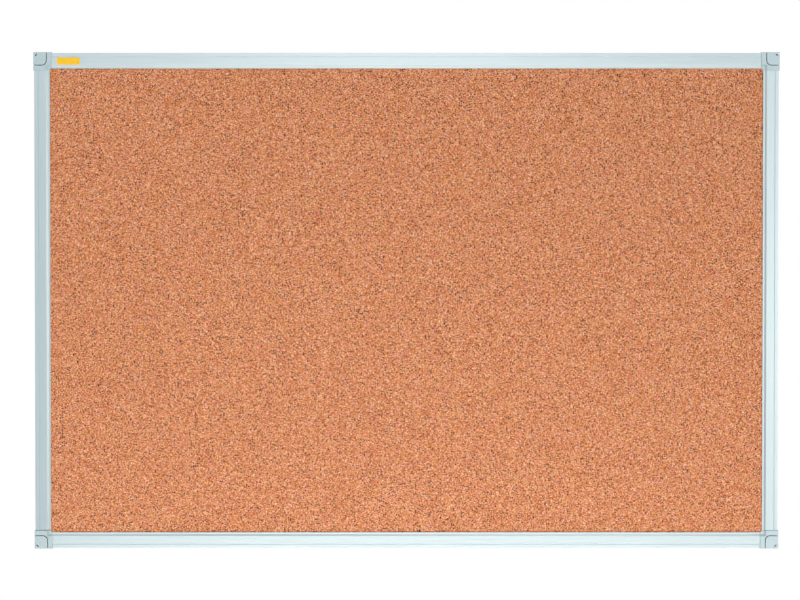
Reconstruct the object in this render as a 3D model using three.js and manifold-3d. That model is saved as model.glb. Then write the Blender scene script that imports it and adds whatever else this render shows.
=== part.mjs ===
// A cork board for a wall: a cork-faced panel in four aluminium rails, joined by plastic
// corner blocks whose covers lift off to reach the holes for the wall screws.
// Millimetres, +Z up. The wall plane is y = 0 and the board's front faces -Y.
// The origin is the middle of the board on the wall plane.
import * as THREE from "three";
import { mergeVertices } from "three/addons/utils/BufferGeometryUtils.js";
import Module from "manifold-3d";

const wasm = await Module();
wasm.setup();

// Overall size, over the corner blocks
const BOARD_WIDTH = 900;
const BOARD_HEIGHT = 600;

// Clearances
const FIT_GAP = 0.3; // between pieces that are pushed together
const GLUE_LINE = 0.1; // between layers that are bonded
const THREAD_GAP = 0.15; // round a screw in its hole
const OVERRUN = 1; // how far a cut runs past what it cuts, and a joined piece into its neighbour

// Panel, from the back to the front
const BACKING_THICKNESS = 0.5;
const CORE_THICKNESS = 7.3;
const CORK_THICKNESS = 2.2;

// Rail section: u runs from the rail's outer edge towards the cork, v from its back to its front
const RAIL_WALL = 1.2;
const FLAT_WIDTH = 14.4; // the front face, from the outer edge to the slope
const SLOPE_WIDTH = 1.9;
const SLOPE_DEPTH = 1.9;
const LIP_WIDTH = 2.3; // the thin strip that lies over the cork
const LIP_WALL = 1.1;
const CHANNEL_DEPTH = 6.6; // how far the channel for the panel goes in from the lip's edge
const BACK_LIP_WIDTH = 6; // the strip behind the panel
const GROOVE_FROM_EDGE = 4.5; // the fine V-groove along the front
const GROOVE_WIDTH = 1.2;
const GROOVE_DEPTH = 0.6;
const RAIL_EDGE = 0.4; // the chamfer on the outer front edge

// Corner block: a and b run inwards from its two outer sides, v from the wall to the front
const RAIL_STEP = 0.5; // how far the block stands proud of the rails at the front and back
const RAIL_SIDE_STEP = 1; // the same, at the outer sides
const CORNER_FILLET = 2; // the round inner corner beside the cork
const CORNER_LAND = 0.4; // the straight bit between that round and the block's end
const CORNER_RADIUS = 0.8; // on the outer corner
const CORNER_EDGE = 0.4; // the chamfer round the front and the back

// Spigots on the block, which fill the ends of the rails' chambers
const SPIGOT_LENGTH = 28;
const SPIGOT_TIP = 1.5; // the chamfer that leads it in
const SPIGOT_WALL = 1.8; // round the hollows that lighten it
const SPIGOT_FLOOR = 3;
const SCREW_FROM_BLOCK = 12;
const SCREW_BOSS = 7; // the solid stretch of spigot at the screw

// Well for a wall screw, under the cover
const WELL_FROM_SIDE = 7.6; // from the block's outer sides to the well's middle
const WELL_RADIUS = 4.6;
const WELL_FLOOR = 4;
const WALL_HOLE_RADIUS = 2.5;

// Cover
const COVER_SIZE = 15.5;
const COVER_PLATE = 1.6;
const COVER_RADIUS = 5.5; // on the inner corner
const COVER_EDGE = 0.25;
const COVER_SEAM = 0.5; // the dark line between the cover and the block
const SKIRT_DEPTH = 4; // how far the cover wraps down the block's outer sides
const SKIRT_WALL = 1;
const PEG_RADIUS = 1;
const PEG_LENGTH = 5;
const PEG_GAP = 0.1;
const PEG_NEAR = 3.4; // from the nearer outer side to the peg's middle
const PEG_FAR = 12.6; // from the other outer side
const SLOT_LENGTH = 3.2;
const SLOT_WIDTH = 0.9;
const SLOT_FROM_SIDE = 3.5; // from each outer side to the slot's middle
const SLOT_RELIEF_RADIUS = 1.6; // the room under the slot for the tip of a screwdriver
const SLOT_RELIEF_DEPTH = 4;

// Corner screws, self-tapping with a countersunk head
const SCREW_LENGTH = 9.5;
const SCREW_RADIUS = 1.4;
const SCREW_TIP = 1.6;
const SCREW_HEAD_RADIUS = 2.5;
const SCREW_HEAD_RIM = 0.15;
const RECESS_LENGTH = 2.6; // the cross in the head
const RECESS_WIDTH = 0.7;
const RECESS_DEPTH = 0.8;

// Label
const LABEL_WIDTH = 27.4;
const LABEL_HEIGHT = 8.8;
const LABEL_THICKNESS = 0.15;
const LABEL_RADIUS = 0.8;
const LABEL_FROM_LEFT = 28.6; // from the board's left side
const LABEL_FROM_SLOPE = 0.2;

// Steps round a full circle, and on a quarter of one
const HOLE_STEPS = 24;
const SCREW_STEPS = 16;
const CORNER_STEPS = 5;

// Sizes that follow from those above
const PANEL_THICKNESS = BACKING_THICKNESS + CORE_THICKNESS + CORK_THICKNESS + 2 * GLUE_LINE;
const CHANNEL_FRONT = RAIL_WALL + PANEL_THICKNESS + 2 * FIT_GAP;
const LIP_FRONT = CHANNEL_FRONT + LIP_WALL;
const RAIL_DEPTH = LIP_FRONT + SLOPE_DEPTH;
const FACE_WIDTH = FLAT_WIDTH + SLOPE_WIDTH + LIP_WIDTH;
const CHANNEL_END = FACE_WIDTH - CHANNEL_DEPTH;
const CHAMBER_END = CHANNEL_END - RAIL_WALL;
const BLOCK_DEPTH = RAIL_DEPTH + 2 * RAIL_STEP;
const LIP_EDGE = RAIL_SIDE_STEP + FACE_WIDTH; // from the block's outer side to the cork
const CORNER_SIZE = LIP_EDGE + CORNER_FILLET + CORNER_LAND;
const SPIGOT_NEAR = RAIL_SIDE_STEP + RAIL_WALL + FIT_GAP;
const SPIGOT_FAR = RAIL_SIDE_STEP + CHAMBER_END - FIT_GAP;
const SPIGOT_MIDDLE = (SPIGOT_NEAR + SPIGOT_FAR) / 2;
const SPIGOT_BACK = RAIL_STEP + RAIL_WALL + FIT_GAP;
const SPIGOT_FRONT = BLOCK_DEPTH - SPIGOT_BACK;
const SCREW_FROM_SIDE = CORNER_SIZE + SCREW_FROM_BLOCK;
const COVER_BACK = BLOCK_DEPTH - COVER_PLATE;
const COVER_SEAT = COVER_BACK - FIT_GAP;

const QUARTER_TURN = Math.PI / 2;

// Solids

function solid(geometry) {
  const bare = geometry.clone();
  bare.deleteAttribute("normal");
  bare.deleteAttribute("uv");
  const merged = mergeVertices(bare);
  return new wasm.Manifold(
    new wasm.Mesh({
      numProp: 3,
      vertProperties: merged.getAttribute("position").array,
      triVerts: new Uint32Array(merged.index.array),
    }),
  );
}

function geometryOf(manifold) {
  const mesh = manifold.getMesh();
  const geometry = new THREE.BufferGeometry();
  geometry.setAttribute("position", new THREE.BufferAttribute(mesh.vertProperties, mesh.numProp));
  geometry.setIndex(new THREE.BufferAttribute(mesh.triVerts, 1));
  geometry.computeVertexNormals();
  return geometry;
}

function joined(first, ...others) {
  return others.reduce((sum, other) => sum.add(other), first);
}

function cut(body, ...cutters) {
  return cutters.reduce((rest, cutter) => rest.subtract(cutter), body);
}

function vectors(points) {
  return points.map(([x, y]) => new THREE.Vector2(x, y));
}

function polygon(points) {
  return new THREE.Shape(vectors(points));
}

// A shape pushed along the third axis between two heights, with its edges chamfered if asked.
function prismGeometry(shape, from, to, edge = 0) {
  const geometry = new THREE.ExtrudeGeometry(shape, {
    depth: to - from - 2 * edge,
    bevelEnabled: edge > 0,
    bevelThickness: edge,
    bevelSize: edge,
    bevelOffset: -edge,
    bevelSegments: 1,
    curveSegments: CORNER_STEPS,
  });
  return geometry.translate(0, 0, from + edge);
}

function prism(shape, from, to, edge) {
  return solid(prismGeometry(shape, from, to, edge));
}

function box(low, high) {
  const size = high.map((value, axis) => value - low[axis]);
  const middle = high.map((value, axis) => (value + low[axis]) / 2);
  return solid(new THREE.BoxGeometry(...size).translate(...middle));
}

// A round bar along the third axis.
function bar(radius, [x, y], from, to) {
  const geometry = new THREE.CylinderGeometry(radius, radius, to - from, HOLE_STEPS);
  geometry.rotateX(QUARTER_TURN);
  return solid(geometry.translate(x, y, (from + to) / 2));
}

// A corner screw along Y, its head at 0 and its tip below; with a gap, the hole for it.
function screwGeometry(gap = 0) {
  const shank = SCREW_RADIUS + gap;
  const head = SCREW_HEAD_RADIUS + gap;
  const coneEnd = SCREW_RADIUS - SCREW_HEAD_RADIUS - SCREW_HEAD_RIM;
  const top = gap > 0 ? OVERRUN : 0;
  const profile = [
    [0, -SCREW_LENGTH - gap],
    [shank, SCREW_TIP - SCREW_LENGTH],
    [shank, coneEnd],
    [head, -SCREW_HEAD_RIM],
    [head, top],
    [0, top],
  ];
  return new THREE.LatheGeometry(vectors(profile), SCREW_STEPS);
}

// Rails

function railSection() {
  const front = RAIL_DEPTH;
  const section = polygon([
    [0, 0],
    [CHANNEL_END + BACK_LIP_WIDTH, 0],
    [CHANNEL_END + BACK_LIP_WIDTH, RAIL_WALL],
    [CHANNEL_END, RAIL_WALL],
    [CHANNEL_END, CHANNEL_FRONT],
    [FACE_WIDTH, CHANNEL_FRONT],
    [FACE_WIDTH, LIP_FRONT],
    [FACE_WIDTH - LIP_WIDTH, LIP_FRONT],
    [FLAT_WIDTH, front],
    [GROOVE_FROM_EDGE + GROOVE_WIDTH / 2, front],
    [GROOVE_FROM_EDGE, front - GROOVE_DEPTH],
    [GROOVE_FROM_EDGE - GROOVE_WIDTH / 2, front],
    [RAIL_EDGE, front],
    [0, front - RAIL_EDGE],
  ]);
  const chamber = polygon([
    [RAIL_WALL, RAIL_WALL],
    [CHAMBER_END, RAIL_WALL],
    [CHAMBER_END, front - RAIL_WALL],
    [RAIL_WALL, front - RAIL_WALL],
  ]);
  section.holes.push(chamber);
  return section;
}

// A rail for the top of a board of this span: it lies along X, its outer edge at z = 0 and
// its back at y = 0.
function railGeometry(span) {
  const length = span - 2 * (CORNER_SIZE + FIT_GAP);
  const toTop = new THREE.Matrix4().makeBasis(
    new THREE.Vector3(0, 0, -1),
    new THREE.Vector3(0, -1, 0),
    new THREE.Vector3(-1, 0, 0),
  );
  const bare = prismGeometry(railSection(), -length / 2, length / 2).applyMatrix4(toTop);
  const holes = [-1, 1].map((end) => {
    const along = end * (span / 2 - SCREW_FROM_SIDE);
    return solid(screwGeometry(THREAD_GAP).translate(along, 0, RAIL_SIDE_STEP - SPIGOT_MIDDLE));
  });
  return geometryOf(cut(solid(bare), ...holes));
}

// Corner screws

function cornerScrewGeometry() {
  const half = RECESS_LENGTH / 2;
  const arm = RECESS_WIDTH / 2;
  const cross = [
    box([-half, -RECESS_DEPTH, -arm], [half, OVERRUN, arm]),
    box([-arm, -RECESS_DEPTH, -half], [arm, OVERRUN, half]),
  ];
  return geometryOf(cut(solid(screwGeometry()), ...cross));
}

// Corner blocks, in a, b and v

// A square that starts at the block's outer corner, with that corner and the inner one rounded.
function squareOutline(size, outerRadius, innerRadius) {
  const inner = size - innerRadius;
  const shape = new THREE.Shape();
  shape.moveTo(outerRadius, 0);
  shape.lineTo(size, 0);
  shape.absarc(inner, inner, innerRadius, 0, QUARTER_TURN);
  shape.lineTo(0, size);
  shape.absarc(outerRadius, outerRadius, outerRadius, 2 * QUARTER_TURN, 3 * QUARTER_TURN);
  return shape;
}

// The block's outline: its inner corner steps back to the line of the rails' lips, with a round.
function blockOutline() {
  const round = LIP_EDGE + CORNER_FILLET;
  const shape = new THREE.Shape();
  shape.moveTo(CORNER_RADIUS, 0);
  shape.lineTo(CORNER_SIZE, 0);
  shape.lineTo(CORNER_SIZE, LIP_EDGE);
  shape.absarc(round, round, CORNER_FILLET, 3 * QUARTER_TURN, 2 * QUARTER_TURN, true);
  shape.lineTo(LIP_EDGE, CORNER_SIZE);
  shape.lineTo(0, CORNER_SIZE);
  shape.absarc(CORNER_RADIUS, CORNER_RADIUS, CORNER_RADIUS, 2 * QUARTER_TURN, 3 * QUARTER_TURN);
  return shape;
}

// The points of one arm of the block, or swapped for its other arm.
function onArm(points, other) {
  return other ? points.map(([a, b]) => [b, a]) : points;
}

function rectangle(low, high) {
  return [[low[0], low[1]], [high[0], low[1]], [high[0], high[1]], [low[0], high[1]]];
}

// A spigot with a hollow on each side of the screw's boss, open at the front.
function spigot(other) {
  const start = CORNER_SIZE - OVERRUN;
  const end = CORNER_SIZE + SPIGOT_LENGTH;
  const outline = [
    [start, SPIGOT_NEAR],
    [end - SPIGOT_TIP, SPIGOT_NEAR],
    [end, SPIGOT_NEAR + SPIGOT_TIP],
    [end, SPIGOT_FAR - SPIGOT_TIP],
    [end - SPIGOT_TIP, SPIGOT_FAR],
    [start, SPIGOT_FAR],
  ];
  const near = SPIGOT_NEAR + SPIGOT_WALL;
  const far = SPIGOT_FAR - SPIGOT_WALL;
  const hollows = [
    rectangle([CORNER_SIZE + SPIGOT_WALL, near], [SCREW_FROM_SIDE - SCREW_BOSS / 2, far]),
    rectangle([SCREW_FROM_SIDE + SCREW_BOSS / 2, near], [end - SPIGOT_WALL, far]),
  ].map((points) =>
    prism(polygon(onArm(points, other)), SPIGOT_BACK + SPIGOT_FLOOR, SPIGOT_FRONT + OVERRUN),
  );
  return cut(prism(polygon(onArm(outline, other)), SPIGOT_BACK, SPIGOT_FRONT), ...hollows);
}

// The hole for a corner screw, from the back of a spigot.
function pilotHole(other) {
  const [[a, b]] = onArm([[SCREW_FROM_SIDE, SPIGOT_MIDDLE]], other);
  const hole = screwGeometry(THREAD_GAP).rotateX(-QUARTER_TURN);
  return solid(hole.translate(a, b, RAIL_STEP));
}

// The groove that takes the panel's corner.
function panelGroove() {
  const start = RAIL_SIDE_STEP + CHANNEL_END;
  const end = CORNER_SIZE + OVERRUN;
  const back = RAIL_STEP + RAIL_WALL;
  return box([start, start, back], [end, end, RAIL_STEP + CHANNEL_FRONT]);
}

// What is cut away above the slope and the lip, so that both run on round the inner corner.
function lipStep() {
  const lip = RAIL_STEP + LIP_FRONT;
  const top = BLOCK_DEPTH + OVERRUN;
  const end = CORNER_SIZE + OVERRUN;
  const slopeEnd = LIP_EDGE - LIP_WIDTH;
  const slopeStart = slopeEnd - (SLOPE_WIDTH / SLOPE_DEPTH) * (top - lip);
  const above = polygon([
    [slopeStart, top],
    [slopeEnd, lip],
    [end, lip],
    [end, top],
  ]);
  const alongB = new THREE.Matrix4().makeBasis(
    new THREE.Vector3(1, 0, 0),
    new THREE.Vector3(0, 0, 1),
    new THREE.Vector3(0, -1, 0),
  );
  const alongA = new THREE.Matrix4().makeBasis(
    new THREE.Vector3(0, 1, 0),
    new THREE.Vector3(0, 0, 1),
    new THREE.Vector3(1, 0, 0),
  );
  const besideOneRail = solid(prismGeometry(above, -end, end).applyMatrix4(alongB));
  const besideTheOther = solid(prismGeometry(above, -end, end).applyMatrix4(alongA));
  return besideOneRail.intersect(besideTheOther);
}

// The room for the cover: under its plate, and down the block's outer sides for its skirt.
function coverRoom() {
  const size = COVER_SIZE + COVER_SEAM + OVERRUN;
  const outline = squareOutline(size, OVERRUN, COVER_RADIUS + COVER_SEAM);
  const back = BLOCK_DEPTH - SKIRT_DEPTH - FIT_GAP;
  const room = prismGeometry(outline, back, BLOCK_DEPTH + OVERRUN);
  const seatStart = SKIRT_WALL + FIT_GAP;
  const seat = box([seatStart, seatStart, 0], [CORNER_SIZE, CORNER_SIZE, COVER_SEAT]);
  return cut(solid(room.translate(-OVERRUN, -OVERRUN, 0)), seat);
}

function pegPlaces() {
  return [false, true].map((other) => onArm([[PEG_FAR, PEG_NEAR]], other)[0]);
}

function cornerGeometry() {
  const top = BLOCK_DEPTH + OVERRUN;
  const well = [WELL_FROM_SIDE, WELL_FROM_SIDE];
  const slot = [SLOT_FROM_SIDE, SLOT_FROM_SIDE];
  const body = joined(
    prism(blockOutline(), 0, BLOCK_DEPTH, CORNER_EDGE),
    spigot(false),
    spigot(true),
  );
  const sockets = pegPlaces().map((place) =>
    bar(PEG_RADIUS + PEG_GAP, place, COVER_BACK - PEG_LENGTH - FIT_GAP, top),
  );
  return geometryOf(
    cut(
      body,
      panelGroove(),
      lipStep(),
      coverRoom(),
      bar(WELL_RADIUS, well, WELL_FLOOR, top),
      bar(WALL_HOLE_RADIUS, well, -OVERRUN, top),
      bar(SLOT_RELIEF_RADIUS, slot, COVER_SEAT - SLOT_RELIEF_DEPTH, top),
      ...sockets,
      pilotHole(false),
      pilotHole(true),
    ),
  );
}

// Covers, in a, b and v

// The slot for prising the cover off, across the block's diagonal.
function slotCutter() {
  const radius = SLOT_WIDTH / 2;
  const straight = (SLOT_LENGTH - SLOT_WIDTH) / 2;
  const shape = new THREE.Shape();
  shape.absarc(straight, 0, radius, -QUARTER_TURN, QUARTER_TURN);
  shape.absarc(-straight, 0, radius, QUARTER_TURN, 3 * QUARTER_TURN);
  const slot = prismGeometry(shape, COVER_BACK - OVERRUN, BLOCK_DEPTH + OVERRUN);
  slot.rotateZ(-QUARTER_TURN / 2);
  return solid(slot.translate(SLOT_FROM_SIDE, SLOT_FROM_SIDE, 0));
}

function coverGeometry() {
  const outline = squareOutline(COVER_SIZE, CORNER_RADIUS, COVER_RADIUS);
  const skirtEnd = BLOCK_DEPTH - SKIRT_DEPTH;
  const past = COVER_SIZE + OVERRUN;
  const hollow = box([SKIRT_WALL, SKIRT_WALL, skirtEnd - OVERRUN], [past, past, COVER_BACK]);
  const pegs = pegPlaces().map((place) =>
    bar(PEG_RADIUS, place, COVER_BACK - PEG_LENGTH, COVER_BACK + COVER_PLATE / 2),
  );
  const shell = cut(prism(outline, skirtEnd, BLOCK_DEPTH, COVER_EDGE), hollow);
  return geometryOf(cut(joined(shell, ...pegs), slotCutter()));
}

// Label

function labelGeometry() {
  const right = LABEL_WIDTH / 2 - LABEL_RADIUS;
  const up = LABEL_HEIGHT / 2 - LABEL_RADIUS;
  const shape = new THREE.Shape();
  const corners = [[right, up], [-right, up], [-right, -up], [right, -up]];
  corners.forEach(([x, y], turn) => {
    shape.absarc(x, y, LABEL_RADIUS, turn * QUARTER_TURN, (turn + 1) * QUARTER_TURN);
  });
  const sheet = prismGeometry(shape, 0, LABEL_THICKNESS);
  return sheet.rotateX(QUARTER_TURN);
}

// Materials

function anodisedAluminium() {
  return new THREE.MeshStandardMaterial({ color: 0xc9d4d8, roughness: 0.38, metalness: 1 });
}

function greyPlastic() {
  return new THREE.MeshStandardMaterial({ color: 0xbfcfd3, roughness: 0.55, metalness: 0 });
}

function cork() {
  return new THREE.MeshStandardMaterial({ color: 0xcf8a64, roughness: 0.9, metalness: 0 });
}

function softboard() {
  return new THREE.MeshStandardMaterial({ color: 0xa58a68, roughness: 0.95, metalness: 0 });
}

function greyPaper() {
  return new THREE.MeshStandardMaterial({ color: 0xb4b2ab, roughness: 0.9, metalness: 0 });
}

function zincPlate() {
  return new THREE.MeshStandardMaterial({ color: 0xbfc3c7, roughness: 0.35, metalness: 1 });
}

function yellowVinyl() {
  return new THREE.MeshStandardMaterial({ color: 0xf4cf3a, roughness: 0.45, metalness: 0 });
}

// Assembly

function mesh(name, geometry, material) {
  const made = new THREE.Mesh(geometry, material);
  made.name = name;
  return made;
}

// The three layers of the panel, from the back to the front.
function panel() {
  const inset = RAIL_SIDE_STEP + CHANNEL_END + FIT_GAP;
  const width = BOARD_WIDTH - 2 * inset;
  const height = BOARD_HEIGHT - 2 * inset;
  const layers = [
    ["backing_sheet", BACKING_THICKNESS, greyPaper()],
    ["core_board", CORE_THICKNESS, softboard()],
    ["cork_sheet", CORK_THICKNESS, cork()],
  ];
  const group = new THREE.Group();
  let back = RAIL_STEP + RAIL_WALL + FIT_GAP;
  for (const [name, thickness, material] of layers) {
    const layer = mesh(name, new THREE.BoxGeometry(width, thickness, height), material);
    layer.position.y = -back - thickness / 2;
    group.add(layer);
    back += thickness + GLUE_LINE;
  }
  return group;
}

// One side of the frame: a rail and the screws at its two ends, made for the top and turned.
function side(name, ends, turn, span, reach) {
  const group = new THREE.Group();
  group.rotation.y = turn * QUARTER_TURN;
  const rail = mesh(`rail_${name}`, railGeometry(span), anodisedAluminium());
  rail.position.set(0, -RAIL_STEP, reach / 2 - RAIL_SIDE_STEP);
  group.add(rail);
  ends.forEach((end, index) => {
    const screw = mesh(`screw_${name}_rail_${end}`, cornerScrewGeometry(), zincPlate());
    const along = span / 2 - SCREW_FROM_SIDE;
    screw.position.set(index ? along : -along, -RAIL_STEP, reach / 2 - SPIGOT_MIDDLE);
    group.add(screw);
  });
  return group;
}

// One corner: its block and its cover, made in a, b and v for the top right and turned.
function corner(name, turn, x, z) {
  const group = new THREE.Group();
  group.position.set(x, 0, z);
  group.rotation.y = turn * QUARTER_TURN;
  const toCorner = new THREE.Matrix4().makeBasis(
    new THREE.Vector3(-1, 0, 0),
    new THREE.Vector3(0, 0, -1),
    new THREE.Vector3(0, -1, 0),
  );
  const block = cornerGeometry().applyMatrix4(toCorner);
  const cover = coverGeometry().applyMatrix4(toCorner);
  group.add(mesh(`corner_${name}`, block, greyPlastic()));
  group.add(mesh(`cover_${name}`, cover, greyPlastic()));
  return group;
}

function label() {
  const sticker = mesh("label", labelGeometry(), yellowVinyl());
  sticker.position.set(
    (LABEL_WIDTH - BOARD_WIDTH) / 2 + LABEL_FROM_LEFT,
    -RAIL_STEP - RAIL_DEPTH - GLUE_LINE,
    BOARD_HEIGHT / 2 - RAIL_SIDE_STEP - FLAT_WIDTH + LABEL_FROM_SLOPE + LABEL_HEIGHT / 2,
  );
  return sticker;
}

const board = new THREE.Group();
board.add(panel());
board.add(side("top", ["left", "right"], 0, BOARD_WIDTH, BOARD_HEIGHT));
board.add(side("right", ["top", "bottom"], 1, BOARD_HEIGHT, BOARD_WIDTH));
board.add(side("bottom", ["right", "left"], 2, BOARD_WIDTH, BOARD_HEIGHT));
board.add(side("left", ["bottom", "top"], 3, BOARD_HEIGHT, BOARD_WIDTH));
board.add(corner("top_right", 0, BOARD_WIDTH / 2, BOARD_HEIGHT / 2));
board.add(corner("bottom_right", 1, BOARD_WIDTH / 2, -BOARD_HEIGHT / 2));
board.add(corner("bottom_left", 2, -BOARD_WIDTH / 2, -BOARD_HEIGHT / 2));
board.add(corner("top_left", 3, -BOARD_WIDTH / 2, BOARD_HEIGHT / 2));
board.add(label());

export default board;
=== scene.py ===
import math
import random

import bmesh
import bpy
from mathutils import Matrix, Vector


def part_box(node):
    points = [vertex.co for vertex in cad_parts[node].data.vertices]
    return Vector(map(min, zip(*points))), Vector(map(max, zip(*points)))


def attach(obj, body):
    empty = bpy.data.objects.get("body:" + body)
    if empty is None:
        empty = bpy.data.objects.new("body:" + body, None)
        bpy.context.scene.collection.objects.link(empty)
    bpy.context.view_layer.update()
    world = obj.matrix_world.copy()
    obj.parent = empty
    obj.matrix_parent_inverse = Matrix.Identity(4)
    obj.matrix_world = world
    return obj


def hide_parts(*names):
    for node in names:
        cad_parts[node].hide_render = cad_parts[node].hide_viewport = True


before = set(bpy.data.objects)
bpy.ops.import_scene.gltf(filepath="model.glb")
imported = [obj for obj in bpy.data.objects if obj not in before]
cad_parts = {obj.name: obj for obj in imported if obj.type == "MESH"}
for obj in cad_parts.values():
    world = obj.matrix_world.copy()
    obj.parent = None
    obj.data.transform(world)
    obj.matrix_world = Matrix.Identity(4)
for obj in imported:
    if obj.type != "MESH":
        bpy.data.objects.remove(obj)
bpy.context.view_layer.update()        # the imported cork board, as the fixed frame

# Lengths are written in millimetres and turned to metres by this.
MM = 0.001
QUARTER_TURN = math.pi / 2
X, Y, Z = range(3)

# The board, as it was made in CAD
BOARD_WIDTH = 900
BOARD_HEIGHT = 600
FIT_GAP = 0.3
OVERRUN = 1

# Rail section: u runs from the rail's outer edge towards the cork, v from its back to its front
RAIL_DEPTH = 15
RAIL_WALL = 1.2
FLAT_WIDTH = 14.4
SLOPE_WIDTH = 1.9
LIP_WIDTH = 2.3
FACE_WIDTH = FLAT_WIDTH + SLOPE_WIDTH + LIP_WIDTH
LIP_FRONT = RAIL_DEPTH - SLOPE_WIDTH
CHANNEL_FRONT = 12
CHANNEL_END = 12
CHAMBER_END = CHANNEL_END - RAIL_WALL
BACK_LIP_END = 18
GROOVE_FROM_EDGE = 4.5
GROOVE_WIDTH = 0.9
GROOVE_DEPTH = 0.4
RAIL_EDGE = 0.4
SLOPE_ROUND = 0.3
VALLEY_ROUND = 0.2
BACK_LIP_ROUND = 0.25
HIDDEN_ROUND = 0.15
GROOVE_ROUND = 0.1

# The rounds along a rail, each with its u, v, radius and segments
RAIL_ROUNDS = (
    (0, RAIL_DEPTH, RAIL_EDGE, 4),
    (0, 0, RAIL_EDGE, 3),
    (FLAT_WIDTH, RAIL_DEPTH, SLOPE_ROUND, 3),
    (FLAT_WIDTH + SLOPE_WIDTH, LIP_FRONT, VALLEY_ROUND, 2),
    (FACE_WIDTH, LIP_FRONT, SLOPE_ROUND, 3),
    (FACE_WIDTH, CHANNEL_FRONT, HIDDEN_ROUND, 2),
    (BACK_LIP_END, 0, BACK_LIP_ROUND, 2),
    (BACK_LIP_END, RAIL_WALL, HIDDEN_ROUND, 2),
    (GROOVE_FROM_EDGE - GROOVE_WIDTH / 2, RAIL_DEPTH, GROOVE_ROUND, 2),
    (GROOVE_FROM_EDGE + GROOVE_WIDTH / 2, RAIL_DEPTH, GROOVE_ROUND, 2),
)

# Corner block: a and b run inwards from its two outer sides, v from the wall to the front
RAIL_STEP = 0.5
RAIL_SIDE_STEP = 1
BLOCK_DEPTH = 16
CORNER_SIZE = 22
CORNER_RADIUS = 0.8
CORNER_EDGE = 0.4
LIP_EDGE = RAIL_SIDE_STEP + FACE_WIDTH
CORK_ROUND = 2.35
SPIGOT_NEAR = 2.5
SPIGOT_FAR = 11.5
SPIGOT_LENGTH = 28
SPIGOT_TIP = 1.5
SPIGOT_WALL = 1.8
SPIGOT_BACK = 2
SPIGOT_FRONT = 14
SPIGOT_FLOOR = 3
SCREW_FROM_SIDE = 34
SCREW_BOSS = 7
WELL_FROM_SIDE = 7.6
WELL_RADIUS = 4.6
WELL_FLOOR = 4
WALL_HOLE_RADIUS = 2.5

# Cover
COVER_SIZE = 15.35
COVER_BACK = 14.4
COVER_SEAT = 14.1
COVER_RADIUS = 5.5
COVER_EDGE = 0.35
COVER_SEAM = 0.95
SEAM_SINK = 4
SEAM_TUCK = 0.4
SKIRT_DEPTH = 4
SKIRT_WALL = 1
PEG_RADIUS = 1
PEG_GAP = 0.1
PEG_LENGTH = 5
PEG_NEAR = 3.4
PEG_FAR = 12.6
PEG_ROOT = PEG_RADIUS / 2
PEG_TIP_SHARE = 0.4
SLOT_LENGTH = 3.4
SLOT_WIDTH = 1.35
SLOT_FROM_SIDE = 3.5
SLOT_END_SHARE = 0.49
SLOT_RELIEF_RADIUS = 1.6
SLOT_RELIEF_DEPTH = 4

# Corner screw
SCREW_LENGTH = 9.5
SCREW_RADIUS = 1.4
SCREW_TIP = 1.6
SCREW_HEAD_RADIUS = 2.5
SCREW_HEAD_RIM = 0.15
RECESS_LENGTH = 2.6
RECESS_WIDTH = 0.7
RECESS_DEPTH = 0.8
THREAD_GAP = 0.15
SCREW_TIP_SHARE = 0.1
RECESS_FLOOR_SHARE = 0.6
SCREW_SEED = 7

# Label
LABEL_CORNER = 0.8

# Cork's face: the spacing of its mesh, the width of its swells and how deep they are in all
CORK_MESH = 2.6
CORK_SWELL = 6
CORK_RELIEF = 0.16

# How finely rounds and bores are cut
EDGE_SEGMENTS = 3
COVER_EDGE_SEGMENTS = 4
CORNER_SEGMENTS = 5
SLOT_SEGMENTS = 6
CORK_SEGMENTS = 8
SEAM_SEGMENTS = 14
CHAMFER_SEGMENTS = 1
BORE_SIDES = 48
SMALL_SIDES = 24

# In millimetres, how near two places count as one and which points merge. Then how straight a
# run or a face lies along its axis, and the angles up to which faces are one flat or one round
SAME_PLACE = 0.02
MERGE_REACH = 0.002
STRAIGHT = 0.999
FACING = 0.9
FLAT_ANGLE = math.radians(1)
SMOOTH_ANGLE = math.radians(32)

# Patterns of the finishes, each by the size of its features in millimetres. The reach is how
# far the granules' edges wander
GRANULE = 0.65
GRANULE_WANDER = 1.2
WANDER_REACH = 0.3
CORK_DRIFT = 2.6
BARK_BIT = 2.3
DIE_LINE_WIDTH = 0.5
DIE_LINE_LENGTH = 60
MOULD_GRAIN = 0.5
LACQUER_CLOUD = 6
PLATING_CLOUD = 1.2
ORANGE_PEEL = 1.5
PAPER_FIBRE = 0.8
PAPER_CLOUD = 40
WOOD_FIBRE = 1.0

# Camera and floor in metres, with the lens in millimetres and the dip in degrees, and then the
# strengths of the world's fill and the floor's glow
CAMERA_PLACE = (-0.0078, -3.0, 0.0613)
CAMERA_LENS = 111.2
CAMERA_DIP = 1.157
FLOOR_SIZE = 12
FLOOR_HEIGHT = -1.5
FADE_START = 3.0
FADE_END = 5.8
WORLD_FILL = 0.35
FLOOR_GLOW = 0.6
LAMP_COLOUR = (1.15, 1.0, 0.92)


# Camera

def photograph_camera():
    """Square on from three metres. It stands a little high and looks down by about a degree."""
    lens = bpy.data.cameras.new("camera")
    lens.lens = CAMERA_LENS
    camera = bpy.data.objects.new("camera", lens)
    camera.location = CAMERA_PLACE
    camera.rotation_euler = (math.radians(90 - CAMERA_DIP), 0, 0)
    bpy.context.scene.collection.objects.link(camera)
    bpy.context.scene.camera = camera


photograph_camera()


# Workbench: what every piece is made with

def put_down():
    """Back to object mode with nothing selected."""
    if bpy.context.object and bpy.context.object.mode != "OBJECT":
        bpy.ops.object.mode_set(mode="OBJECT")
    bpy.ops.object.select_all(action="DESELECT")


def take(piece):
    """One piece is selected and active, and nothing else."""
    put_down()
    piece.select_set(True)
    bpy.context.view_layer.objects.active = piece


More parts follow.
